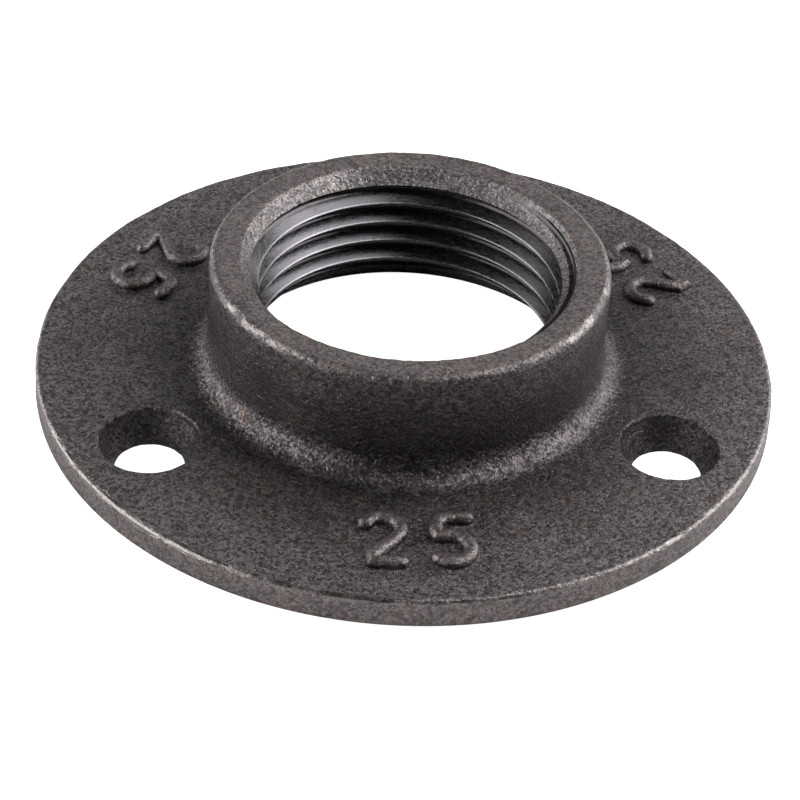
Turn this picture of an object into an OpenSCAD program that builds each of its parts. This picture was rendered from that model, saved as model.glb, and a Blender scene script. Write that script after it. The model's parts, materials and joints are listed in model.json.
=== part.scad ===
// Threaded floor flange: a round cast-iron plate with a raised hub, which screws onto the
// end of a pipe and is fixed to a floor, wall or board through its screw holes.
// The sizes build outward from the pipe thread. Lengths are in millimetres, +Z is up,
// and the origin is the centre of the flat base.

/* [Threaded bore] */
// Minor diameter of the pipe thread, which is the plain bore (1 inch pipe, 11 threads per inch)
bore_d = 30.3; // [18:0.1:42]
// Radial width of the rough cast lip at the hub's mouth
lip_w = 1.85; // [0.5:0.05:2.6]
// Depth of that lip, from the hub's top face to the start of the plain bore
lip_depth = 2.4; // [0.5:0.1:4]
// Depth of the 45 degree relief that leads the bore out through the base
relief_depth = 4.15; // [0.5:0.05:5]

/* [Hub] */
// Overall height, from the base to the hub's top face
height = 15.5; // [12:0.5:30]
// Wall of the hub, from the bore to its outer face
hub_wall = 5.1; // [4:0.1:8]
// Rounding of the hub's outer top edge
hub_edge_r = 0.7; // [0.2:0.1:1]
// Rounding between the lip and the hub's top face
lip_edge_r = 0.6; // [0.2:0.1:1]
// Fillet where the hub rises from the plate
root_fillet_r = 2.5; // [1:0.5:4.5]

/* [Plate] */
// Thickness at the rim
rim_t = 3.3; // [2:0.1:5]
// Thickness where the plate's slope would meet the hub wall
root_t = 3.8; // [3:0.1:6]
// Rounding of the rim's two edges
rim_edge_r = 0.5; // [0.2:0.1:0.9]
// Distance from the hub wall to a screw hole's axis
hole_setback = 9.25; // [9:0.05:16]
// Distance from a screw hole's axis to the rim
rim_margin = 8.25; // [6.5:0.05:14]

/* [Screw holes] */
// Number of holes, evenly spaced
hole_count = 3; // [2:1:6]
// Diameter of a hole
hole_d = 8.2; // [4:0.1:8.4]
// Radius of the soft rounding at a hole's upper mouth
mouth_round_r = 1.2; // [0.5:0.1:2.2]

/* [Hidden] */

// Smoothness of every round face
$fn = 128;
// Amount by which a cutter passes the face it opens through
over = 1;
// Amount by which a corner's rounding passes the two sides that it joins
grip = 0.2;
// Amount by which a corner's arc runs past the tangent on each side
corner_bite = 0.004;
// Angle of the first screw hole, so that the pattern is symmetric about +Y
first_hole_angle = 90;

bore_r = bore_d / 2;
lip_r = bore_r + lip_w;
relief_r = bore_r + relief_depth;
hub_r = bore_r + hub_wall;
hole_r = hole_d / 2;
hole_circle_r = hub_r + hole_setback;
flange_r = hole_circle_r + rim_margin;

// The plate's top falls in a straight line from the hub wall to the rim
plate_slope = atan((root_t - rim_t) / (flange_r - hub_r));
plate_t_at_holes = rim_t + rim_margin * tan(plate_slope);
// A mouth's arc tilts with the plate, and runs this far past the tangent to stay in its hole
mouth_bite = mouth_round_r * sin(plate_slope) + corner_bite;

// Directions in the section: x runs outward from the bore's axis, y runs up it
outward = [1, 0];
inward = [-1, 0];
upward = [0, 1];
downward = [0, -1];
down_plate = [cos(plate_slope), -sin(plate_slope)];
lip_length = norm([lip_w, lip_depth]);
down_lip = [-lip_w / lip_length, -lip_depth / lip_length];

// The sliver between a corner of the section and the arc that rounds it. Taken away it
// rounds an outer corner, and added it fills an inner one. Each direction is a unit
// vector that leaves the corner along one of its two sides. The sliver passes both sides
// by the grip, and its arc stops a hair short of tangent, so each side ends in one edge.
module corner_sliver(corner, along_a, along_b, r) {
    half_angle = acos(along_a * along_b) / 2;
    tangent_length = r / tan(half_angle);
    bisector = (along_a + along_b) / norm(along_a + along_b);
    centre = corner + bisector * r / sin(half_angle);
    touch_a = corner + along_a * tangent_length;
    touch_b = corner + along_b * tangent_length;
    difference() {
        polygon([
            corner - bisector * grip / sin(half_angle),
            touch_a + (touch_a - centre) * grip / r,
            centre,
            touch_b + (touch_b - centre) * grip / r
        ]);
        translate(centre) circle(r + corner_bite);
    }
}

// Right half of the casting's section, with sharp corners
module sharp_section() {
    polygon([
        [relief_r, 0],
        [flange_r, 0],
        [flange_r, rim_t],
        [hub_r, root_t],
        [hub_r, height],
        [lip_r, height],
        [bore_r, height - lip_depth],
        [bore_r, relief_depth]
    ]);
}

// The same section with its cast edges rounded and the hub's root filled
module cast_section() {
    difference() {
        union() {
            sharp_section();
            corner_sliver([hub_r, root_t], down_plate, upward, root_fillet_r);
        }
        corner_sliver([flange_r, 0], inward, upward, rim_edge_r);
        corner_sliver([flange_r, rim_t], downward, -down_plate, rim_edge_r);
        corner_sliver([hub_r, height], downward, inward, hub_edge_r);
        corner_sliver([lip_r, height], outward, down_lip, lip_edge_r);
    }
}

// Cutter that softens a hole's mouth, with its own axis square to the sloping plate
module mouth_cutter() {
    reach = mouth_round_r - mouth_bite;
    rotate([0, plate_slope, 0])
        translate([0, 0, -reach])
            rotate_extrude()
                difference() {
                    square([hole_r + reach, reach + over]);
                    translate([hole_r + reach, 0]) circle(mouth_round_r);
                }
}

// Cutter for one screw hole, standing on the base
module hole_cutter() {
    translate([0, 0, -over]) cylinder(r = hole_r, h = root_t + 2 * over);
    translate([0, 0, plate_t_at_holes]) mouth_cutter();
}

// The whole casting
module flange() {
    color([0.24, 0.22, 0.21])
        difference() {
            rotate_extrude() cast_section();
            for (i = [0 : hole_count - 1])
                rotate(first_hole_angle + i * 360 / hole_count)
                    translate([hole_circle_r, 0, 0])
                        hole_cutter();
        }
}

flange();
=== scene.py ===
"""Threaded floor flange: its visible casting and a plain studio, an add-on that also runs as a script."""
import json
import math

import bpy
from bpy.props import FloatProperty, FloatVectorProperty, IntProperty, PointerProperty
from mathutils import Matrix, Vector

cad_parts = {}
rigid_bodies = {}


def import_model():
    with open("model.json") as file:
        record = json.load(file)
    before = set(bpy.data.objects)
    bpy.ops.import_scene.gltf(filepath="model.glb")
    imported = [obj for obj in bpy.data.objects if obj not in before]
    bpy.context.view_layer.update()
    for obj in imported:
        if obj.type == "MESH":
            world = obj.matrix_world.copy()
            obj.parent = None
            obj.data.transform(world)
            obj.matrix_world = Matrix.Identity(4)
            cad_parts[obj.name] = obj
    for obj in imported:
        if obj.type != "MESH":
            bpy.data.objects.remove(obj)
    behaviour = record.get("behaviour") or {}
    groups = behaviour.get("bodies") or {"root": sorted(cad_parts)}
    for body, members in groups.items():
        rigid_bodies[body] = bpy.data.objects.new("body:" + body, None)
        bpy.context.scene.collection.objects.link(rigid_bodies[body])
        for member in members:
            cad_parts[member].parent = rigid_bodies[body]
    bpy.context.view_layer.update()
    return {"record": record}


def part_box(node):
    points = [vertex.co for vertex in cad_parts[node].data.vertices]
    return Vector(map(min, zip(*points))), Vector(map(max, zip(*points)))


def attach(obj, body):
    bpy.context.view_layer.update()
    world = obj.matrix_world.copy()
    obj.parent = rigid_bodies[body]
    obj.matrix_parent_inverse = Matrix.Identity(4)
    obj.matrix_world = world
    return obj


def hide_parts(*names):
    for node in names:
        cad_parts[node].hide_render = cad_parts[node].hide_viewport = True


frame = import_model()

bl_info = {
    "name": "Threaded Floor Flange",
    "version": (1, 0, 0),
    "blender": (4, 5, 0),
    "location": "View3D > Sidebar > Floor Flange",
    "description": "Models a cast-iron floor flange with a tapped hub, and a studio to show it in",
    "category": "Add Mesh",
}

MM = 0.001
FULL_TURN = 2 * math.pi

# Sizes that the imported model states
TOP_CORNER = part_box("flange")[1]
MOUNTS = {mount["name"]: mount for mount in frame["record"]["mounts"]}
BORE = MOUNTS["pipe_thread"]
SCREW_HOLES = MOUNTS["screw_holes"]
BORE_TOP = BORE["pos_m"][2]
BORE_FOOT = BORE_TOP - BORE["dims"]["length_mm"] * MM

# Amount by which a cutter passes the face that it opens through
OVER = 1 * MM
# Distance under which two points are one
SAME_POINT = 0.001 * MM
# Slack within which a face counts as part of the bore's wall
WALL_SLACK = 0.01 * MM
# Angle past which the edge between two faces looks sharp
SHARP_ANGLE = math.radians(38)

# Divisions round a screw hole, along its wall and mouth, and round one turn of the thread
HOLE_COLUMNS = 72
HOLE_ROWS = 8
THREAD_COLUMNS = 200
# Share of a hole's draft that lies inside its stated radius
DRAFT_INSIDE = 0.38
# How far a hole's cutter flares above its mouth, outward and up
FLARE = 0.4 * MM
FLARE_RISE = 0.1 * MM
# How far the tap's ridge stands inside the bore, and where its rounded crest begins, in radians
TAP_INSIDE = 0.2 * MM
CREST_TURN = 0.2

# Half the distance between the numerals' middles, on characters one unit high
NUMERAL_GAP = 0.46
# Directions in degrees round a stroke's end, and the stroke's fullness there
END_TURNS = (0, 30, 60)
END_FULLNESS = (0.06, 0.5, 0.87)

# Grain of the hollows and the grit that the sand presses into the mesh
HOLLOW_GRAIN = 5 * MM
GRIT_GRAIN = 0.9 * MM
MOUTH_GRAIN = 0.6 * MM
# How many times deeper the grit is at the hub's mouth and in the screw holes
MOUTH_GRIT = 1.6
HOLE_GRIT = 2.6
# Grains per metre and depth of the finest roughness, which only the materials have
SKIN_GRAINS = 4000.0
SKIN_BUMP = 0.08 * MM
CUT_GRAINS = 2500.0
CUT_BUMP = 0.02 * MM

# The table top's width, and how far it lies below the base, in metres
FLOOR_WIDTH = 6
FLOOR_DROP = 0.02 * MM
# Distance of every softbox from the middle of the base, in metres
SOFTBOX_DISTANCE = 0.7
# Each softbox: its direction round the axis and above the floor in degrees, width, height, brightness
SOFTBOXES = {
    "softbox_left": (182, 38, 0.75, 0.35, "left_light"),
    "strip_left": (176, 12, 1.4, 0.3, "left_strip"),
    "softbox_right": (4, 38, 0.65, 0.38, "right_light"),
    "strip_right": (18, 12, 1.1, 0.3, "right_strip"),
    "softbox_top": (-4, 62, 0.5, 0.35, "top_light"),
    "softbox_back": (86, 36, 0.5, 0.35, "back_light"),
}
# The camera's sensor in millimetres, and the nearest and farthest that it sees in metres
SENSOR_WIDTH = 36
NEAREST = 0.01
FARTHEST = 20


def length(name, note, default):
    """A length that a user may change."""
    return FloatProperty(
        name=name, description=note, default=default, min=0, precision=5, unit="LENGTH", subtype="DISTANCE"
    )


def angle(name, note, degrees):
    """An angle that a user may change."""
    return FloatProperty(
        name=name, description=note, default=math.radians(degrees), precision=3,
        unit="ROTATION", subtype="ANGLE",
    )


def share(name, note, default):
    """A value between none and all."""
    return FloatProperty(name=name, description=note, default=default, min=0, max=1, subtype="FACTOR")


def strength(name, note, default):
    """A brightness that has no upper limit."""
    return FloatProperty(name=name, description=note, default=default, min=0)


def shift(name, note, default):
    """A shift of the picture, as a share of its width."""
    return FloatProperty(name=name, description=note, default=default, precision=4)


def colour(name, note, default):
    """A linear colour."""
    return FloatVectorProperty(
        name=name, description=note, default=default, size=3, min=0, max=1, subtype="COLOR"
    )


class FlangeSizes(bpy.types.PropertyGroup):
    """Sizes of the casting."""

    flange_radius: length("Flange radius", "Outer radius of the plate", TOP_CORNER.x)
    height: length("Height", "From the base to the hub's top face", TOP_CORNER.z)
    bore_radius: length("Bore radius", "Minor radius of the pipe thread", BORE["dims"]["r_mm"] * MM)
    bore_top: length("Bore top", "Height at which the plain bore meets the lip", BORE_TOP)
    bore_foot: length("Bore foot", "Height at which the plain bore meets the relief", BORE_FOOT)
    lip_width: length("Lip width", "Radial width of the rough lip at the hub's mouth", 1.85 * MM)
    lip_edge: length("Lip edge", "Rounding between the lip and the top face", 0.6 * MM)
    hub_wall: length("Hub wall", "From the bore to the hub's outer face", 5.1 * MM)
    hub_edge: length("Hub edge", "Rounding of the hub's outer top edge", 1.1 * MM)
    root_fillet: length("Root fillet", "Fillet where the hub rises from the plate", 2.5 * MM)
    root_thickness: length("Root thickness", "Plate thickness where its slope meets the hub", 3.8 * MM)
    rim_thickness: length("Rim thickness", "Plate thickness at the rim", 3.3 * MM)
    rim_edge: length("Rim edge", "Rounding of the rim's edges", 0.5 * MM)
    columns: IntProperty(name="Columns", description="Divisions round the casting", default=600, min=48)

    hole_count: IntProperty(
        name="Holes", description="Number of screw holes", default=SCREW_HOLES["dims"]["count"], min=1
    )
    hole_circle: length("Hole circle", "Radius of the holes' circle", SCREW_HOLES["dims"]["pcd_mm"] / 2 * MM)
    hole_radius: length("Hole radius", "Radius of a screw hole", SCREW_HOLES["dims"]["hole_r_mm"] * MM)
    hole_mouth: length("Hole mouth", "Rounding of a hole's upper mouth", 0.6 * MM)
    hole_draft: length("Hole draft", "How much a hole's radius grows from its foot to its mouth", 1.35 * MM)
    first_hole: angle("First hole", "Direction of the first screw hole", 90)

    thread_pitch: length("Thread pitch", "Rise of the pipe thread in one turn", 2.309 * MM)
    thread_depth: length("Thread depth", "Depth of the groove from crest to root", 1.479 * MM)
    thread_flank: angle("Thread flank", "Half of the angle between the thread's flanks", 27.5)
    thread_crest: length("Thread crest", "Rounding of the thread's narrow crest", 0.09 * MM)
    thread_start: length("Thread start", "Height of the groove's middle straight along +X", 0.715 * MM)

    mark_size: length("Mark size", "Height of the raised numerals, the nominal bore in millimetres", 7.2 * MM)
    mark_stroke: length("Mark stroke", "Width of a numeral's half-round stroke", 1.75 * MM)
    mark_height: length("Mark height", "How far a numeral stands above the plate", 1.0 * MM)
    mark_circle: length("Mark circle", "Radius at which the numerals are centred", 29.6 * MM)

    unevenness: length("Unevenness", "Depth of the broad hollows that the sand left", 0.16 * MM)
    grit: length("Grit", "Depth of the finer roughness that the sand left", 0.07 * MM)


class FlangeColours(bpy.types.PropertyGroup):
    """Colours and finish of the iron."""

    skin: colour("Skin", "Dark cast skin", (0.088, 0.077, 0.081))
    rust: colour("Rust", "Brown tint of the skin in places", (0.104, 0.079, 0.074))
    skin_worn: colour("Worn skin", "Browner skin where tumbling has rubbed it", (0.185, 0.156, 0.153))
    # Soot also paints the shade round the hub's foot and the shadow round each numeral's foot
    soot_and_shade: colour("Soot", "Darkest specks of sand and oil", (0.030, 0.026, 0.026))
    bare: colour("Bare iron", "Iron that shows where an edge is worn through", (0.25, 0.23, 0.223))
    lip: colour("Lip", "Rough iron at the hub's mouth, scraped by the tap", (0.32, 0.292, 0.286))
    cut: colour("Cut iron", "Freshly tapped iron in the thread", (0.115, 0.110, 0.118))
    # The burnished colour is also a painted highlight along the thread's crests
    burnished_and_highlight: colour("Burnished iron", "Bright crests of the thread", (0.27, 0.26, 0.27))
    # The oil colour also paints shade in the groove's root and on the bore's +X side, besides the random
    # smudges
    oil: colour("Oil", "Dark cutting oil in the root of the thread", (0.07, 0.065, 0.07))
    skin_roughness: share("Skin roughness", "Roughness of the cast skin", 0.27)
    cut_roughness: share("Cut roughness", "Roughness of the tapped thread", 0.26)


class StudioSettings(bpy.types.PropertyGroup):
    """The floor, the lights and the camera."""

    floor: colour("Floor", "Pale table top", (0.82, 0.82, 0.82))
    white: strength("White", "Brightness that only the camera sees in the table top and the room", 1.0)
    room: strength("Room", "Brightness of the dim room round the table", 0.02)
    left_light: strength("Left light", "Brightness of the softbox on the left", 2.8)
    left_strip: strength("Left strip", "Brightness of the low strip of light on the left", 3.6)
    right_light: strength("Right light", "Brightness of the softbox on the right", 3.7)
    right_strip: strength("Right strip", "Brightness of the low strip of light on the right", 3.0)
    top_light: strength("Top light", "Brightness of the softbox high on the right", 2.8)
    back_light: strength("Back light", "Brightness of the softbox behind the table", 1.0)
    camera_distance: length("Camera distance", "From the camera to the middle of the base", 271.8 * MM)
    camera_azimuth: angle("Camera direction", "Direction of the camera round the bore's axis", -94.3)
    camera_elevation: angle("Camera height", "Angle of the camera above the floor", 37.245)
    camera_roll: angle("Camera roll", "Turn of the camera about its own axis", 3.487)
    camera_lens: FloatProperty(
        name="Lens", description="Focal length in millimetres", default=118.3, min=1,
        unit="CAMERA", subtype="DISTANCE_CAMERA",
    )
    shift_across: shift("Shift across", "How far the picture is moved to the right", -0.0046)
    shift_up: shift("Shift up", "How far the picture is moved up", -0.0255)


def start_modelling():
    """Leaves edit mode and takes everything out of the selection."""
    if bpy.context.object and bpy.context.object.mode != "OBJECT":
        bpy.ops.object.mode_set(mode="OBJECT")
    bpy.ops.object.select_all(action="DESELECT")
    bpy.context.tool_settings.mesh_select_mode = (True, False, False)


def make_active(piece):
    """Makes one piece the only selected and the active one."""
    start_modelling()
    piece.select_set(True)
    bpy.context.view_layer.objects.active = piece


def settle(piece):
    """Puts a piece's place and turn into its mesh."""
    make_active(piece)
    bpy.ops.object.transform_apply(location=True, rotation=True, scale=True)


def apply_all(piece):
    """Applies every modifier of a piece, in order."""
    make_active(piece)
    for name in [modifier.name for modifier in piece.modifiers]:
        bpy.ops.object.modifier_apply(modifier=name)


def select_points(piece, is_chosen):
    """Selects some of a piece's points and leaves it in edit mode."""
    make_active(piece)
    bpy.ops.object.mode_set(mode="EDIT")
    bpy.ops.mesh.select_all(action="DESELECT")
    bpy.ops.object.mode_set(mode="OBJECT")
    for vertex in piece.data.vertices:
        vertex.select = is_chosen(vertex)
    bpy.ops.object.mode_set(mode="EDIT")


def close_and_face_out(piece):
    """Merges a piece's doubles, then turns its faces outward."""
    make_active(piece)
    bpy.ops.object.mode_set(mode="EDIT")
    bpy.ops.mesh.select_all(action="SELECT")
    bpy.ops.mesh.remove_doubles(threshold=SAME_POINT)
    bpy.ops.mesh.normals_make_consistent(inside=False)
    bpy.ops.object.mode_set(mode="OBJECT")


def draw_path(name, path):
    """Draws a line through points, one extruded from the other."""
    start_modelling()
    bpy.ops.mesh.primitive_plane_add(size=OVER, location=path[0])
    piece = bpy.context.object
    piece.name = name
    bpy.ops.object.mode_set(mode="EDIT")
    bpy.ops.mesh.select_all(action="SELECT")
    bpy.ops.mesh.merge(type="CENTER")
    for here, there in zip(path, path[1:]):
        bpy.ops.mesh.extrude_vertices_move(TRANSFORM_OT_translate={"value": there - here})
    bpy.ops.mesh.select_all(action="SELECT")
    bpy.ops.mesh.remove_doubles(threshold=SAME_POINT)
    bpy.ops.object.mode_set(mode="OBJECT")
    settle(piece)
    return piece


def draw_outline(name, outline, closed):
    """Draws a half section, given as radius and height, in the XZ plane."""
    path = [Vector((radius, 0, height)) for radius, height in outline]
    return draw_path(name, path + path[:1] if closed else path)


def wind_outline(piece, steps, rise, turns):
    """Winds an outline about the Z axis, with a rise in each turn."""
    wind = piece.modifiers.new("Wind", "SCREW")
    wind.axis = "Z"
    wind.angle = FULL_TURN
    wind.screw_offset = rise
    wind.iterations = turns
    wind.steps = steps
    wind.render_steps = steps
    wind.use_merge_vertices = False
    apply_all(piece)


def spin_round(piece, steps):
    """Turns an outline about the Z axis into a closed solid."""
    wind_outline(piece, steps, rise=0, turns=1)
    close_and_face_out(piece)


def combine(piece, helper, operation):
    """Combines a helper's solid with a piece and clears the helper away."""
    modifier = piece.modifiers.new("Combine", "BOOLEAN")
    modifier.operation = operation
    modifier.solver = "MANIFOLD"
    modifier.material_mode = "TRANSFER"
    modifier.object = helper
    apply_all(piece)
    mesh = helper.data
    bpy.data.objects.remove(helper)
    bpy.data.meshes.remove(mesh)


def cut_away(piece, cutter):
    """Takes a cutter's solid out of a piece."""
    combine(piece, cutter, "DIFFERENCE")


def join_solid(piece, solid):
    """Makes a solid one with a piece."""
    combine(piece, solid, "UNION")


def drop_chips(piece):
    """Removes chips that a cut or a join has left loose, all that isn't linked to the outermost point."""
    outermost = max(piece.data.vertices, key=lambda vertex: vertex.co.x).index
    select_points(piece, lambda vertex: vertex.index == outermost)
    bpy.ops.mesh.select_linked()
    bpy.ops.mesh.select_all(action="INVERT")
    bpy.ops.mesh.delete(type="VERT")
    bpy.ops.object.mode_set(mode="OBJECT")


def is_closed(piece):
    """Tells whether every edge of a piece joins exactly two faces."""
    faces_at_edge = [0] * len(piece.data.edges)
    for loop in piece.data.loops:
        faces_at_edge[loop.edge_index] += 1
    return all(count == 2 for count in faces_at_edge)


def copies_of(piece, count):
    """A piece and copies of it, each with a mesh of its own."""
    copies = [piece]
    for _ in range(count - 1):
        copy = piece.copy()
        copy.data = piece.data.copy()
        bpy.context.scene.collection.objects.link(copy)
        copies.append(copy)
    return copies


def join_pieces(pieces):
    """Joins pieces into the first of them."""
    start_modelling()
    for piece in pieces:
        piece.select_set(True)
    bpy.context.view_layer.objects.active = pieces[0]
    bpy.ops.object.join()
    settle(pieces[0])
    return pieces[0]


def rounded_outline(corners):
    """Walks a closed outline of corners. Each is a radius and a height, a rounding, the spacing along
    that rounding, which a sharp corner doesn't have, and the spacing along the side that follows."""
    arcs = []
    for index, (place, rounding, arc_spacing, _) in enumerate(corners):
        here = Vector(place)
        back = (Vector(corners[index - 1][0]) - here).normalized()
        ahead = (Vector(corners[(index + 1) % len(corners)][0]) - here).normalized()
        if not rounding:
            arcs.append([here])
            continue
        half = back.angle(ahead) / 2
        centre = here + (back + ahead).normalized() * rounding / math.sin(half)
        reach = rounding / math.tan(half)
        start, end = here + back * reach - centre, here + ahead * reach - centre
        turn = start.angle_signed(end)
        pieces = max(2, round(abs(turn) * rounding / arc_spacing))
        begin = math.atan2(start.y, start.x)
        arcs.append([
            centre + Matrix.Rotation(begin - turn * k / pieces, 2) @ Vector((rounding, 0))
            for k in range(pieces + 1)
        ])
    points = []
    for index, arc in enumerate(arcs):
        points += arc
        side_end = arcs[(index + 1) % len(arcs)][0]
        pieces = max(1, round((side_end - arc[-1]).length / corners[index][3]))
        points += [arc[-1].lerp(side_end, k / pieces) for k in range(1, pieces)]
    return [(point.x, point.y) for point in points]


def plate_slope(sizes):
    """Angle at which the plate's top falls towards its rim."""
    run = sizes.flange_radius - sizes.bore_radius - sizes.hub_wall
    return math.atan2(sizes.root_thickness - sizes.rim_thickness, run)


def plate_height(sizes, radius):
    """Height of the plate's top at a radius."""
    return sizes.rim_thickness + (sizes.flange_radius - radius) * math.tan(plate_slope(sizes))


def casting_outline(sizes):
    """Half section of the casting, from the foot of the relief round to the relief again."""
    bore, hub = sizes.bore_radius, sizes.bore_radius + sizes.hub_wall
    rim, height = sizes.flange_radius, sizes.height
    undivided = height
    return rounded_outline([
        ((bore + sizes.bore_foot, 0), 0, None, 6 * MM),
        ((rim, 0), sizes.rim_edge, 0.25 * MM, 0.4 * MM),
        ((rim, sizes.rim_thickness), sizes.rim_edge, 0.2 * MM, 0.32 * MM),
        ((hub, sizes.root_thickness), sizes.root_fillet, 0.3 * MM, 0.5 * MM),
        ((hub, height), sizes.hub_edge, 0.2 * MM, 0.4 * MM),
        ((bore + sizes.lip_width, height), sizes.lip_edge, 0.2 * MM, 0.35 * MM),
        ((bore, sizes.bore_top), 0, None, undivided),
        ((bore, sizes.bore_foot), 0, None, 1.5 * MM),
    ])


def ramp(value, low, high):
    """Goes from none at the low value to all at the high one."""
    return min(1, max(0, (value - low) / (high - low)))


def weigh(piece, name, weight_at):
    """Makes a vertex group whose weights follow from each point's radius and height."""
    group = piece.vertex_groups.new(name=name)
    for vertex in piece.data.vertices:
        weight = weight_at(math.hypot(vertex.co.x, vertex.co.y), vertex.co.z)
        if weight > 0:
            group.add([vertex.index], weight, "REPLACE")
    return name


def roughen(piece, group, name, grain, depth):
    """Presses a cloudy unevenness into the vertices of a group, or into all of them, never outward."""
    clouds = bpy.data.textures.new(name, "CLOUDS")
    clouds.noise_scale = grain
    clouds.noise_depth = 2
    modifier = piece.modifiers.new(name, "DISPLACE")
    modifier.texture = clouds
    modifier.texture_coords = "LOCAL"
    modifier.vertex_group = group
    modifier.strength = depth
    modifier.mid_level = 1
    apply_all(piece)


def press_in_sand(casting, sizes):
    """Leaves the sand's hollows and grit on the cast faces, and more grit at the hub's mouth."""
    bore, lip, top = sizes.bore_radius, sizes.bore_radius + sizes.lip_width, sizes.bore_top

    def off_base_and_bore(radius, height):
        """Leaves the flat base and the bore's wall as they are."""
        return ramp(height, 0.1 * MM, MM) * ramp(radius, bore, bore + 0.5 * MM)

    def on_lip(radius, height):
        """Fades from the lip towards the bore and the top face."""
        over_bore = ramp(height, top, top + MM) * ramp(radius, bore + 0.1 * MM, bore + 0.6 * MM)
        return over_bore * (1 - ramp(radius, lip, lip + MM))

    cast_faces = weigh(casting, "cast_faces", off_base_and_bore)
    mouth = weigh(casting, "mouth", on_lip)
    roughen(casting, cast_faces, "cast_hollows", HOLLOW_GRAIN, sizes.unevenness)
    roughen(casting, cast_faces, "cast_grit", GRIT_GRAIN, sizes.grit)
    roughen(casting, mouth, "mouth_grit", MOUTH_GRAIN, MOUTH_GRIT * sizes.grit)


def arc_points(centre, radius, first, last, pieces):
    """Points along an arc, between two directions in degrees."""
    turns = [math.radians(first + (last - first) * k / pieces) for k in range(pieces + 1)]
    return [(centre[0] + radius * math.cos(turn), centre[1] + radius * math.sin(turn)) for turn in turns]


def numeral_strokes():
    """Centre lines of the raised numerals, on characters one unit high and placed side by side."""
    two = arc_points((0, 0.18), 0.25, 150, -30, 7) + [(-0.26, -0.43), (0.24, -0.43)]
    five = [(0.2, 0.43), (-0.19, 0.43), (-0.23, 0.05)] + arc_points((-0.02, -0.17), 0.26, 105, -135, 8)
    return [[(x - NUMERAL_GAP, y) for x, y in two], [(x + NUMERAL_GAP, y) for x, y in five]]


def soften(path):
    """Cuts the corners of an open path, keeping its ends."""
    softer = [path[0]]
    for here, there in zip(path, path[1:]):
        softer += [here.lerp(there, 0.25), here.lerp(there, 0.75)]
    return softer + [path[-1]]


def run_on(path, reach):
    """Adds points before and after a path, where a stroke is drawn in to a round end."""
    start, end = (path[0] - path[1]).normalized(), (path[-1] - path[-2]).normalized()
    steps = [reach * math.cos(math.radians(turn)) for turn in END_TURNS]
    before = [path[0] + start * step for step in steps]
    return before + path + [path[-1] + end * step for step in reversed(steps)]


def draw_stroke(centre_line, sizes):
    """A round ridge along a numeral's centre line, drawn in at its ends."""
    reach = sizes.mark_stroke / 2
    path = [Vector((x, y, 0)) * sizes.mark_size for x, y in centre_line]
    ridge = draw_path("stroke", run_on(soften(path), reach))
    bpy.ops.object.convert(target="CURVE")
    ridge.data.bevel_depth = reach
    ridge.data.bevel_resolution = 3
    ridge.data.use_fill_caps = True
    points = ridge.data.splines[0].points
    for index, fullness in enumerate(END_FULLNESS):
        points[index].radius = fullness
        points[-1 - index].radius = fullness
    bpy.ops.object.convert(target="MESH")
    return ridge


def numerals(sizes):
    """Both numerals as one helper, upright on the XY plane and reaching below it."""
    both = join_pieces([draw_stroke(centre_line, sizes) for centre_line in numeral_strokes()])
    bpy.ops.transform.translate(value=(0, 0, sizes.mark_height - sizes.mark_stroke / 2))
    settle(both)
    close_and_face_out(both)
    return both


def raise_marks(piece, sizes):
    """Raises the numerals from the plate between each pair of screw holes, read from outside the rim."""
    tilt = Matrix.Rotation(plate_slope(sizes), 4, "X")
    lift = Matrix.Translation((0, -sizes.mark_circle, plate_height(sizes, sizes.mark_circle)))
    for index, mark in enumerate(copies_of(numerals(sizes), sizes.hole_count)):
        direction = sizes.first_hole + FULL_TURN * (index + 0.5) / sizes.hole_count
        mark.matrix_world = Matrix.Rotation(direction + math.pi / 2, 4, "Z") @ lift @ tilt
        settle(mark)
        join_solid(piece, mark)


def hole_cutters(sizes):
    """Cutters for the screw holes, each with a soft mouth that is square to the sloping plate."""
    top, mouth = plate_height(sizes, sizes.hole_circle), sizes.hole_mouth
    foot = sizes.hole_radius - DRAFT_INSIDE * sizes.hole_draft
    neck, wall = top - mouth, foot + sizes.hole_draft
    slant = (wall - foot) / neck
    outline = [(0, -OVER)]
    for k in range(HOLE_ROWS + 1):
        rise = neck * k / HOLE_ROWS - OVER * (1 - k / HOLE_ROWS)
        outline.append((foot + slant * rise, rise))
    for k in range(1, HOLE_ROWS + 1):
        turn = math.pi / 2 * k / HOLE_ROWS
        outline.append((wall + mouth * (1 - math.cos(turn)), neck + mouth * math.sin(turn)))
    brim = outline[-1][0]
    outline += [(brim + FLARE, top + FLARE_RISE), (brim, top + OVER), (0, top + OVER)]
    cutter = draw_outline("hole_cutter", outline, closed=False)
    spin_round(cutter, HOLE_COLUMNS)
    select_points(cutter, lambda vertex: vertex.co.z > neck + SAME_POINT)
    bpy.ops.transform.rotate(
        value=-plate_slope(sizes), orient_axis="Y", orient_type="GLOBAL", center_override=(0, 0, top)
    )
    bpy.ops.object.mode_set(mode="OBJECT")

    cutters = copies_of(cutter, sizes.hole_count)
    for index, copy in enumerate(cutters):
        turn = Matrix.Rotation(sizes.first_hole + FULL_TURN * index / sizes.hole_count, 4, "Z")
        copy.matrix_world = turn @ Matrix.Translation((sizes.hole_circle, 0, 0))
    join_pieces(cutters)
    roughen(cutter, "", "hole_grit", GRIT_GRAIN, HOLE_GRIT * sizes.grit)
    return cutter


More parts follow.
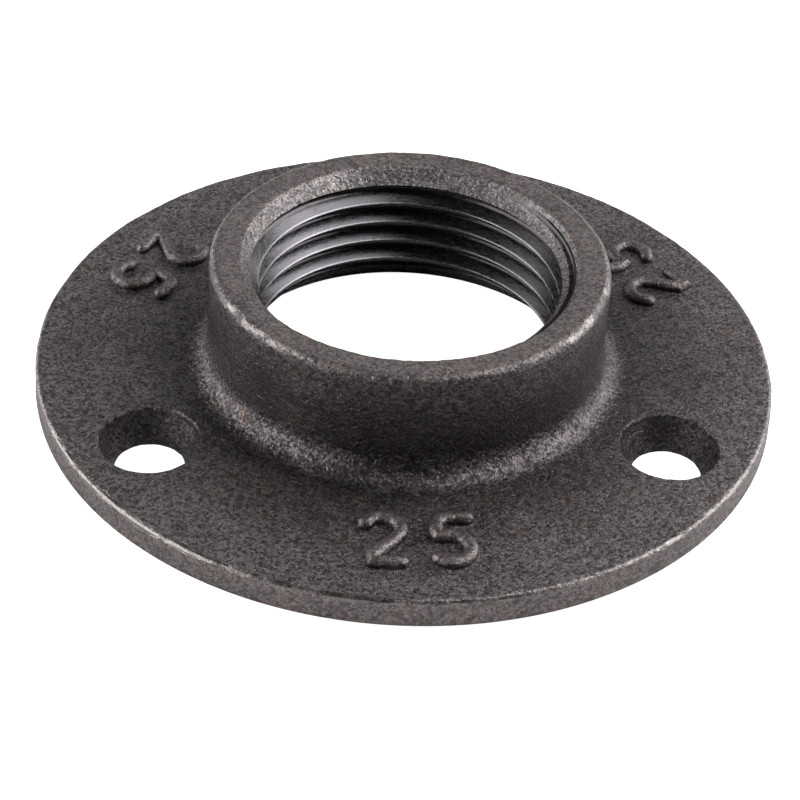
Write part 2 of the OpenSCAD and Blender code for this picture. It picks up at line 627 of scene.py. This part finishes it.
def thread_tap(sizes):
    """One long ridge wound along the pipe thread, which cuts its groove with a rounded root."""
    pitch, flank, narrow = sizes.thread_pitch, sizes.thread_flank, sizes.thread_crest
    both = (pitch / 2 * math.cos(flank) - sizes.thread_depth * math.sin(flank)) / (1 - math.sin(flank))
    wide = both - narrow
    crest, root = sizes.bore_radius + narrow, sizes.bore_radius + sizes.thread_depth - wide
    flank_turn = math.pi / 2 - flank
    lower_half = []
    for turn in (CREST_TURN, flank_turn / 2, flank_turn):
        lower_half.append((crest - narrow * math.cos(turn), narrow * math.sin(turn) - pitch / 2))
    for turn in (flank_turn, flank_turn * 2 / 3, flank_turn / 3, 0):
        lower_half.append((root + wide * math.cos(turn), -wide * math.sin(turn)))
    lower_half.insert(0, (sizes.bore_radius - TAP_INSIDE, lower_half[0][1]))
    upper_half = [(radius, -height) for radius, height in reversed(lower_half[:-1])]
    foot = sizes.thread_start - pitch
    outline = [(radius, height + foot) for radius, height in lower_half + upper_half]
    tap = draw_outline("thread_tap", outline, closed=True)
    wind_outline(tap, THREAD_COLUMNS, rise=pitch, turns=math.ceil(sizes.height / pitch) + 1)
    bpy.ops.object.mode_set(mode="EDIT")
    bpy.ops.mesh.select_all(action="SELECT")
    bpy.ops.mesh.fill_holes(sides=0)
    close_and_face_out(tap)
    return tap


class FLANGE_OT_casting(bpy.types.Operator):
    """Model the casting: plate, hub, screw holes, tapped bore and raised numerals"""

    bl_idname = "floor_flange.casting"
    bl_label = "Casting"

    def execute(self, context):
        sizes = context.scene.flange_sizes
        skin = cast_skin(context.scene.flange_colours, sizes)
        thread = cut_thread(context.scene.flange_colours, sizes)

        casting = draw_outline("flange_casting", casting_outline(sizes), closed=True)
        spin_round(casting, sizes.columns)
        casting.data.materials.append(skin)
        casting.data.materials.append(thread)
        for face in casting.data.polygons:
            radius = math.hypot(face.center.x, face.center.y)
            face.material_index = int(radius < sizes.bore_radius + WALL_SLACK)

        raise_marks(casting, sizes)
        press_in_sand(casting, sizes)
        cut_away(casting, hole_cutters(sizes))
        tap = thread_tap(sizes)
        tap.data.materials.append(thread)
        cut_away(casting, tap)
        drop_chips(casting)
        if not is_closed(casting):
            raise RuntimeError("The casting's mesh isn't closed")

        make_active(casting)
        bpy.ops.object.shade_smooth_by_angle(angle=SHARP_ANGLE)
        casting.vertex_groups.clear()
        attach(casting, "root")
        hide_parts("flange")
        return {"FINISHED"}


class Board:
    """Places nodes on one node tree and joins them."""

    def __init__(self, tree):
        self.tree = tree

    def add(self, kind, settings=None, **inputs):
        """Adds a node, sets its properties, and joins or sets its inputs by name."""
        node = self.tree.nodes.new(kind)
        for name, value in (settings or {}).items():
            setattr(node, name, value)
        for name, value in inputs.items():
            self.feed(node, name.replace("_", " "), value)
        return node

    def feed(self, node, name, value):
        """Joins a socket to an input, or sets the input's value. A colour comes without its alpha."""
        socket = node.inputs[name]
        if isinstance(value, bpy.types.NodeSocket):
            self.tree.links.new(value, socket)
        elif socket.type == "RGBA":
            socket.default_value = (*value, 1)
        else:
            socket.default_value = value

    def sum(self, operation, first, second=0.0, third=0.0, clamp=False):
        """A Math node."""
        node = self.add("ShaderNodeMath", {"operation": operation, "use_clamp": clamp})
        for index, value in enumerate((first, second, third)):
            self.feed(node, index, value)
        return node.outputs[0]

    def most(self, first, *others):
        """The largest of several values."""
        for other in others:
            first = self.sum("MAXIMUM", first, other)
        return first

    def product(self, first, *others):
        """Several values multiplied."""
        for other in others:
            first = self.sum("MULTIPLY", first, other)
        return first

    def distance(self, across, along):
        """How far a point lies from the middle of a plane."""
        flat = self.add("ShaderNodeCombineXYZ", X=across, Y=along).outputs[0]
        return self.add("ShaderNodeVectorMath", {"operation": "LENGTH"}, Vector=flat).outputs["Value"]

    def span(self, value, low, high, bottom=0.0, top=1.0):
        """A smooth step between two values."""
        node = self.add("ShaderNodeMapRange", {"interpolation_type": "SMOOTHSTEP"})
        self.feed(node, "Value", value)
        for name, number in (("From Min", low), ("From Max", high), ("To Min", bottom), ("To Max", top)):
            self.feed(node, name, number)
        return node.outputs["Result"]

    def between(self, mask, bottom, top):
        """A value that goes smoothly from one number to another as a mask goes from none to all."""
        return self.span(mask, 0.0, 1.0, bottom, top)

    def blend(self, factor, first, second, kind="MIX"):
        """A Mix node for two colours, with its sockets by their numbers because their names repeat."""
        node = self.add("ShaderNodeMix", {"data_type": "RGBA", "blend_type": kind})
        for index, value in ((0, factor), (6, first), (7, second)):
            self.feed(node, index, value)
        return node.outputs[2]

    def noise(self, where, scale, detail, roughness):
        """A Noise Texture."""
        node = self.add("ShaderNodeTexNoise", Vector=where, Scale=scale, Detail=detail, Roughness=roughness)
        return node.outputs[0]

    def emboss(self, shader, rise, depth, strength):
        """Gives a shader a bump of some depth."""
        bump = self.add("ShaderNodeBump", Strength=strength, Distance=depth, Height=rise)
        self.feed(shader, "Normal", bump.outputs["Normal"])


def new_material(name):
    """A node material, its board and its shader."""
    material = bpy.data.materials.new(name)
    material.use_nodes = True
    return material, Board(material.node_tree), material.node_tree.nodes["Principled BSDF"]


def new_group(name, inputs, outputs):
    """A shader node group with named sockets, and its board, its given values and its output node."""
    tree = bpy.data.node_groups.new(name, "ShaderNodeTree")
    for socket, kind in inputs.items():
        tree.interface.new_socket(socket, in_out="INPUT", socket_type=kind)
    for socket in outputs:
        tree.interface.new_socket(socket, in_out="OUTPUT", socket_type="NodeSocketFloat")
    board = Board(tree)
    return tree, board, board.add("NodeGroupInput").outputs, board.add("NodeGroupOutput")


def around_axis(board, place):
    """A place on the surface taken apart along X, Y and Z, and its distance from the bore's axis."""
    apart = board.add("ShaderNodeSeparateXYZ", Vector=place).outputs
    return apart, board.distance(apart["X"], apart["Y"])


def sand_grain_group():
    """Grain that moulding sand leaves: a height, fine specks, soft pits and a slow change of tone."""
    tree, board, given, out = new_group(
        "Sand grain",
        {"Place": "NodeSocketVector", "Grains per Metre": "NodeSocketFloat"},
        ("Height", "Specks", "Pits", "Tone"),
    )
    place, scale = given["Place"], given["Grains per Metre"]
    grains = board.add("ShaderNodeTexVoronoi", {"feature": "F1"}, Vector=place, Scale=scale).outputs
    chance = board.add("ShaderNodeSeparateColor", Color=grains["Color"]).outputs[0]
    domes = board.product(board.sum("SUBTRACT", 0.8, grains["Distance"]), chance)
    specks = board.noise(place, board.product(scale, 0.9), 3.0, 0.8)
    swell = board.noise(place, board.product(scale, 0.35), 1.0, 0.5)
    pits = board.span(board.noise(place, board.product(scale, 0.3), 2.0, 0.6), 0.58, 0.72)
    height = board.sum("ADD", board.sum("ADD", specks, swell), board.product(domes, 0.5))
    uneven = board.sum("MULTIPLY_ADD", chance, 0.35, board.product(specks, 0.65))
    board.feed(out, "Height", board.sum("SUBTRACT", height, board.product(pits, 0.6)))
    board.feed(out, "Specks", board.span(uneven, 0.26, 0.74))
    board.feed(out, "Pits", pits)
    board.feed(out, "Tone", board.noise(place, 190.0, 3.0, 0.6))
    return tree


def ring_wear_group():
    """Wear round an edge that runs in a circle about the bore's axis, broken into flecks along it."""
    tree, board, given, out = new_group(
        "Ring wear",
        {
            "Place": "NodeSocketVector", "Ring Radius": "NodeSocketFloat", "Ring Height": "NodeSocketFloat",
            "Reach": "NodeSocketFloat", "Broken": "NodeSocketFloat",
        },
        ("Mask",),
    )
    apart, radius = around_axis(board, given["Place"])
    across = board.sum("SUBTRACT", radius, given["Ring Radius"])
    above = board.sum("SUBTRACT", apart["Z"], given["Ring Height"])
    away = board.sum("DIVIDE", board.distance(across, above), given["Reach"])
    near = board.sum("SUBTRACT", 1.0, away, clamp=True)
    turn = board.sum("ARCTAN2", apart["X"], board.product(apart["Y"], -1.0))
    along = board.product(turn, 0.01)
    unrolled = board.add("ShaderNodeCombineXYZ", X=along, Y=across, Z=above).outputs[0]
    flecks = board.span(board.noise(unrolled, 900.0, 3.0, 0.6), 0.36, 0.62)
    broad = board.span(board.noise(given["Place"], 70.0, 1.0, 0.5), 0.35, 0.65)
    loss = board.product(board.most(flecks, broad), given["Broken"])
    board.feed(out, "Mask", board.span(board.sum("SUBTRACT", near, loss), 0.0, 0.6))
    return tree


def sand_grain(board, place, grains):
    """The grain of the sand, with so many grains in a metre."""
    tree = bpy.data.node_groups.get("Sand grain") or sand_grain_group()
    return board.add("ShaderNodeGroup", {"node_tree": tree}, Place=place, Grains_per_Metre=grains).outputs


def ring_wear(board, place, radius, height, reach, broken):
    """Wear round one ring, as far as its reach and more or less broken."""
    tree = bpy.data.node_groups.get("Ring wear") or ring_wear_group()
    ring = board.add(
        "ShaderNodeGroup", {"node_tree": tree}, Place=place,
        Ring_Radius=radius, Ring_Height=height, Reach=reach, Broken=broken,
    )
    return ring.outputs["Mask"]


def shade(tint, factor):
    """A colour made darker or lighter."""
    return tuple(factor * channel for channel in tint)


def grey(level):
    """A colour with the same level in each channel."""
    return (level, level, level)


class SkinZones:
    """Masks for the places on the casting where its skin differs."""

    def __init__(self, board, place, tone, sizes):
        bore, rim = sizes.bore_radius, sizes.flange_radius
        hub, lip = bore + sizes.hub_wall, bore + sizes.lip_width
        fillet_end, fillet_top = hub + sizes.root_fillet, sizes.root_thickness + sizes.root_fillet
        apart, radius = around_axis(board, place)
        height = apart["Z"]
        # Depths below a face between which its mask fades
        thin, thick = 0.2 * MM, 0.6 * MM

        # Edges that are worn through, and the band round the hub's foot that reflects more
        self.wear = board.most(
            ring_wear(board, place, rim, sizes.rim_thickness, 1.2 * MM, 0.48),
            ring_wear(board, place, rim, 0.0, 0.8 * MM, 0.9),
            ring_wear(board, place, hub, sizes.height, 1.15 * MM, 0.5),
        )
        self.root = ring_wear(board, place, hub, sizes.root_thickness + 3.5 * MM, 9 * MM, 0.2)

        # Faces
        self.rim = board.span(radius, rim - thick, rim - thin)
        self.top = board.span(height, sizes.height - thick, sizes.height - thin)
        self.lip = board.product(
            board.span(radius, lip + 0.3 * MM, lip - thin),
            board.span(height, sizes.bore_top - thin, sizes.bore_top + thin),
        )
        self.wall = board.span(height, fillet_top - thick, fillet_top + 0.8 * MM, 0.0, 0.5)

        # Numerals, by their height above the sloping plate
        plate_fall = math.tan(plate_slope(sizes))
        plate_peak = sizes.rim_thickness + rim * plate_fall
        above = board.sum("SUBTRACT", height, board.sum("MULTIPLY_ADD", radius, -plate_fall, plate_peak))
        on_plate = board.span(radius, fillet_end, fillet_end + MM)
        self.mark = board.product(board.span(above, 0.25 * MM, sizes.mark_height - thin), on_plate)
        # Painted shadow: a dark ring round the foot of each numeral
        self.mark_foot_shadow = board.product(
            board.span(above, 0.0, 0.06 * MM), on_plate, board.span(above, 0.5 * MM, thin)
        )

        # Rubbed faces; the scraped lip, laid on more fully on its -X side as a painted highlight; painted
        # shade in the corner round the hub's foot; and painted shade that darkens the plate and hub near the
        # hub and lightens the plate towards the rim
        patchy = board.span(tone, 0.25, 0.6, 0.55, 1.0)
        faces = board.product(board.most(self.rim, self.top), patchy)
        self.rubbed = board.most(faces, board.product(self.mark, 0.6))
        # The lip's own scraped iron in random patches, laid on more fully on the -X side as a painted
        # highlight
        self.scraped = board.product(
            self.lip,
            board.span(tone, 0.3, 0.6, 1.0, 0.5),
            board.span(apart["X"], -bore * 0.7, bore * 0.5, 1.0, 0.5),
        )
        # Painted shade: soot laid in a ring on the plate just beyond the hub's fillet
        self.corner = board.product(
            board.span(radius, hub + 1.5 * MM, hub + 2.8 * MM),
            board.span(radius, hub + 8 * MM, hub + 3 * MM, 0.0, 0.45),
        )
        # Painted shade: the skin darker at the hub and near it, lighter towards the rim, broken by random
        # tone
        uneven = board.span(tone, 0.3, 0.7, -0.35, 0.35)
        self.outward = board.sum("ADD", board.span(radius, fillet_end, rim), uneven, clamp=True)


def cast_skin(colours, sizes):
    """Dark sand-cast skin, browner where it is rubbed and bright iron where an edge is worn through."""
    material, board, shader = new_material("cast_skin")
    place = board.add("ShaderNodeTexCoord").outputs["Object"]
    grain = sand_grain(board, place, SKIN_GRAINS)
    zones = SkinZones(board, place, grain["Tone"], sizes)

    stain = board.span(board.noise(place, 700.0, 4.0, 0.7), 0.48, 0.7)
    pits = board.product(grain["Pits"], board.between(zones.rubbed, 0.45, 0.42))
    # The pits also take the painted shadow round each numeral's foot
    pits = board.most(pits, board.product(zones.mark_foot_shadow, 0.9))
    worn = board.blend(zones.rim, shade(colours.skin_worn, 0.88), colours.skin_worn)
    # Painted shade: darker and lighter copies of the skin, blended from the hub out to the rim
    skin = board.blend(zones.outward, shade(colours.skin, 0.82), shade(colours.skin, 1.55))
    for cover, tint in (
        # painted shade in the corner round the hub's foot
        (zones.corner, colours.soot_and_shade),
        (stain, colours.rust),
        (zones.rubbed, worn),
        # the scraped lip, brighter on its -X side as a painted highlight
        (zones.scraped, colours.lip),
        (pits, colours.soot_and_shade),
        (zones.wear, colours.bare),
    ):
        skin = board.blend(cover, skin, tint)

    smooth = board.most(zones.top, zones.rim, zones.mark, zones.lip)
    calm = board.most(zones.wear, board.product(smooth, 0.36))
    quiet = board.most(calm, board.product(zones.root, zones.wall))
    specks = board.blend(grain["Specks"], grey(0.22), grey(1.8))
    specks = board.blend(quiet, specks, grey(0.95))
    board.feed(shader, "Base Color", board.blend(1.0, skin, specks, "MULTIPLY"))

    # Metallic also follows the lip's painted highlight side, and drops at the pits and the numerals' painted
    # foot shadow
    bright = board.sum("SUBTRACT", board.most(zones.wear, zones.scraped), pits)
    bright = board.most(bright, board.product(zones.root, 0.75))
    board.feed(shader, "Metallic", board.between(bright, 0.55, 0.95))
    rough = colours.skin_roughness
    board.feed(shader, "Roughness", board.between(grain["Specks"], rough + 0.1, rough - 0.06))
    rise = board.product(
        grain["Height"], board.between(calm, 1.0, 0.25), board.between(zones.lip, 1.0, 1.7)
    )
    board.emboss(shader, rise, SKIN_BUMP, strength=1.0)
    return material


def cut_thread(colours, sizes):
    """Iron that the tap has cut, brushed along the thread, with smudges of dark oil, painted shade in the
    groove's root and on the bore's +X side, and a painted highlight on the crests.
    """
    material, board, shader = new_material("cut_thread")
    place = board.add("ShaderNodeTexCoord").outputs["Object"]
    grain = sand_grain(board, place, CUT_GRAINS)
    apart, radius = around_axis(board, place)
    along = board.product(board.sum("ARCTAN2", apart["X"], apart["Y"]), 3 * MM)
    brushed = board.add("ShaderNodeCombineXYZ", X=radius, Y=apart["Z"], Z=along).outputs[0]
    lines = board.noise(brushed, 6000.0, 3.0, 0.65)

    bore = sizes.bore_radius
    # Painted shade: darker towards the root of the groove
    root_shade = board.span(radius, bore + 0.9 * MM, bore + sizes.thread_depth, 0.0, 0.7)
    smudges = board.span(grain["Tone"], 0.45, 0.75, 0.0, 0.6)
    # Painted shade: darker on the bore's +X side
    right_side_shade = board.span(apart["X"], 2 * MM, 11 * MM, 0.0, 0.95)
    tint = board.blend(board.most(root_shade, smudges, right_side_shade), colours.cut, colours.oil)
    # Painted highlight: brighter, burnished iron along the crests
    crest = board.span(radius, bore + 0.2 * MM, bore + 0.06 * MM)
    tint = board.blend(crest, tint, colours.burnished_and_highlight)
    streaks = board.blend(board.span(lines, 0.3, 0.7), grey(0.85), grey(1.15))
    board.feed(shader, "Base Color", board.blend(1.0, tint, streaks, "MULTIPLY"))
    board.feed(shader, "Metallic", 1.0)
    rough = colours.cut_roughness
    board.feed(shader, "Roughness", board.span(lines, 0.3, 0.7, rough - 0.05, rough + 0.1))
    rise = board.sum("ADD", lines, board.product(grain["Height"], 0.4))
    board.emboss(shader, rise, CUT_BUMP, strength=0.7)
    return material


def floor_material(studio):
    """A plain pale table top that looks white to the camera."""
    material, board, shader = new_material("pale_table")
    board.feed(shader, "Base Color", studio.floor)
    board.feed(shader, "Roughness", 0.9)
    board.feed(shader, "Specular IOR Level", 0.1)
    board.feed(shader, "Emission Color", grey(1))
    seen = board.add("ShaderNodeLightPath").outputs["Is Camera Ray"]
    board.feed(shader, "Emission Strength", board.product(seen, studio.white))
    return material


def paint_room(studio):
    """A dim room, which looks white to the camera."""
    world = bpy.data.worlds.new("studio_room")
    bpy.context.scene.world = world
    world.use_nodes = True
    board, background = Board(world.node_tree), world.node_tree.nodes["Background"]
    board.feed(background, "Color", grey(1))
    seen = board.add("ShaderNodeLightPath").outputs["Is Camera Ray"]
    board.feed(background, "Strength", board.sum("MULTIPLY_ADD", seen, studio.white, studio.room))


def pointing(azimuth, elevation):
    """A direction, from an angle round the bore's axis and an angle above the floor."""
    flat = math.cos(elevation)
    return Vector((flat * math.cos(azimuth), flat * math.sin(azimuth), math.sin(elevation)))


def hang_softbox(name, aim, width, height, brightness):
    """A softbox that faces the middle of the base. Its power keeps its brightness the same at any size."""
    light = bpy.data.lights.new(name, "AREA")
    light.shape = "RECTANGLE"
    light.size = width
    light.size_y = height
    light.energy = brightness * math.pi * width * height
    box = bpy.data.objects.new(name, light)
    bpy.context.scene.collection.objects.link(box)
    box.location = aim * SOFTBOX_DISTANCE
    box.rotation_euler = aim.to_track_quat("Z", "Y").to_euler()
    box.visible_camera = False


def place_camera(studio):
    """Stands the camera where the photograph was taken from."""
    data = bpy.data.cameras.new("camera")
    camera = bpy.data.objects.new("camera", data)
    bpy.context.scene.collection.objects.link(camera)
    data.sensor_width = SENSOR_WIDTH
    data.lens = studio.camera_lens
    data.shift_x = studio.shift_across
    data.shift_y = studio.shift_up
    data.clip_start = NEAREST
    data.clip_end = FARTHEST
    turn, roll = studio.camera_azimuth, studio.camera_roll
    back = pointing(turn, studio.camera_elevation)
    right = Vector((-math.sin(turn), math.cos(turn), 0))
    up = back.cross(right)
    rolled_right = right * math.cos(roll) + up * math.sin(roll)
    rolled_up = up * math.cos(roll) - right * math.sin(roll)
    stand = Matrix((rolled_right, rolled_up, back)).transposed().to_4x4()
    stand.translation = back * studio.camera_distance
    camera.matrix_world = stand
    bpy.context.scene.camera = camera


class FLANGE_OT_stage(bpy.types.Operator):
    """Set out a pale floor, soft light and the camera"""

    bl_idname = "floor_flange.stage"
    bl_label = "Stage"

    def execute(self, context):
        studio = context.scene.flange_studio
        start_modelling()
        bpy.ops.mesh.primitive_plane_add(size=FLOOR_WIDTH, location=(0, 0, -FLOOR_DROP))
        floor = context.object
        floor.name = "floor"
        floor.data.materials.append(floor_material(studio))
        paint_room(studio)
        for name, (azimuth, elevation, width, height, setting) in SOFTBOXES.items():
            aim = pointing(math.radians(azimuth), math.radians(elevation))
            hang_softbox(name, aim, width, height, getattr(studio, setting))
        place_camera(studio)
        context.scene.view_settings.view_transform = "Standard"
        return {"FINISHED"}


class VIEW3D_PT_floor_flange(bpy.types.Panel):
    """Lists the flange's steps and their settings."""

    bl_label = "Floor Flange"
    bl_space_type = "VIEW_3D"
    bl_region_type = "UI"
    bl_category = "Floor Flange"

    def draw(self, context):
        for operator in (FLANGE_OT_casting, FLANGE_OT_stage):
            self.layout.operator(operator.bl_idname)
        for title, group in (
            ("Sizes", context.scene.flange_sizes),
            ("Iron", context.scene.flange_colours),
            ("Studio", context.scene.flange_studio),
        ):
            box = self.layout.box()
            box.label(text=title)
            for name in group.__annotations__:
                box.prop(group, name)


CLASSES = (
    FlangeSizes,
    FlangeColours,
    StudioSettings,
    FLANGE_OT_casting,
    FLANGE_OT_stage,
    VIEW3D_PT_floor_flange,
)


def register():
    """Adds the flange's classes to Blender and its settings to each scene."""
    for cls in CLASSES:
        bpy.utils.register_class(cls)
    bpy.types.Scene.flange_sizes = PointerProperty(type=FlangeSizes)
    bpy.types.Scene.flange_colours = PointerProperty(type=FlangeColours)
    bpy.types.Scene.flange_studio = PointerProperty(type=StudioSettings)


def unregister():
    """Takes the settings and the classes out again."""
    del bpy.types.Scene.flange_studio
    del bpy.types.Scene.flange_colours
    del bpy.types.Scene.flange_sizes
    for cls in reversed(CLASSES):
        bpy.utils.unregister_class(cls)


def main():
    """Makes the stage and the casting."""
    register()
    bpy.ops.floor_flange.stage()
    bpy.ops.floor_flange.casting()


if __name__ == "__main__":
    main()
